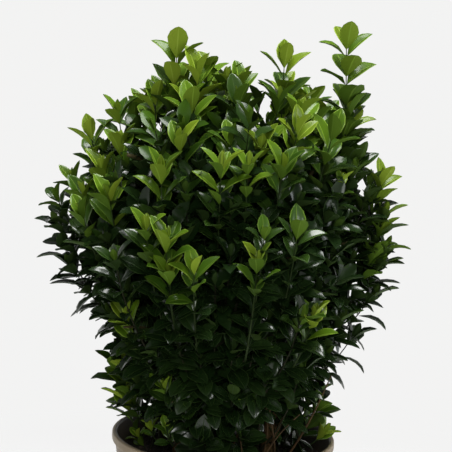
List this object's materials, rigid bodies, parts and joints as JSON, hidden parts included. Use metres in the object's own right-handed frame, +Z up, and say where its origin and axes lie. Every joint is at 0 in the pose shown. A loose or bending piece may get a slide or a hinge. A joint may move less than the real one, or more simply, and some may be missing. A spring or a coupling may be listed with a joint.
{
  "type": "potted japanese spindle",
  "caption": "Dense upright evergreen shrub with small glossy leaves on crowded upright shoots, standing in a round taupe nursery pot.",
  "frame": {"origin": "middle of the pot's flat underside", "axes": "+Z up through the pot and the crown; the shrub's front, the side shown, faces -Y; +X is to the right seen from the front"},
  "size_m": [0.2955, 0.3157, 0.514],
  "materials": {
    "pot_plastic": "satin taupe plastic",
    "potting_soil": "dark moist compost",
    "stem_bark": "matte brown bark",
    "bough_bark": "matte green-brown bark",
    "leaf_dark": "glossy dark green leaves",
    "leaf_green": "glossy green leaves",
    "leaf_fresh": "glossy fresh green leaves",
    "leaf_young": "satin yellow-green young leaves"
  },
  "bodies": {
    "root": {"bough_cap_left": "bough_bark", "bough_cap_right": "bough_bark", "bough_high_1": "bough_bark", "bough_high_2": "bough_bark", "bough_high_4": "bough_bark", "bough_high_6": "bough_bark", "bough_middle_2": "bough_bark", "bough_middle_5": "bough_bark", "bough_wide_1": "bough_bark", "bough_wide_4": "bough_bark", "bough_wide_7": "bough_bark", "foliage_cap_front": "leaf_fresh", "foliage_cap_left": "leaf_fresh", "foliage_cap_right": "leaf_fresh", "foliage_high_1": "leaf_fresh", "foliage_high_2": "leaf_fresh", "foliage_high_3": "leaf_fresh", "foliage_high_4": "leaf_fresh", "foliage_high_5": "leaf_fresh", "foliage_high_6": "leaf_fresh", "foliage_low_1": "leaf_dark", "foliage_low_2": "leaf_dark", "foliage_low_3": "leaf_dark", "foliage_low_4": "leaf_dark", "foliage_low_5": "leaf_dark", "foliage_low_6": "leaf_dark", "foliage_middle_1": "leaf_dark", "foliage_middle_2": "leaf_dark", "foliage_middle_3": "leaf_dark", "foliage_middle_4": "leaf_dark", "foliage_middle_5": "leaf_dark", "foliage_middle_6": "leaf_dark", "foliage_middle_7": "leaf_dark", "foliage_wide_1": "leaf_green", "foliage_wide_2": "leaf_green", "foliage_wide_3": "leaf_green", "foliage_wide_4": "leaf_green", "foliage_wide_5": "leaf_green", "foliage_wide_6": "leaf_green", "foliage_wide_7": "leaf_green", "pot": "pot_plastic", "potting_soil": "potting_soil", "shoot_back": "leaf_young", "shoot_back_left": "leaf_young", "shoot_back_right": "leaf_young", "shoot_far_left": "leaf_young", "shoot_front_left": "leaf_young", "shoot_front_right": "leaf_young", "shoot_middle": "leaf_young", "shoot_outer_left": "leaf_young", "shoot_right": "leaf_young", "shoot_tall_left": "leaf_young", "shoot_tall_right": "leaf_young", "stem_back": "stem_bark", "stem_front": "stem_bark", "stem_left": "stem_bark", "stem_middle": "stem_bark", "stem_right": "stem_bark"}
  },
  "joints": []
}
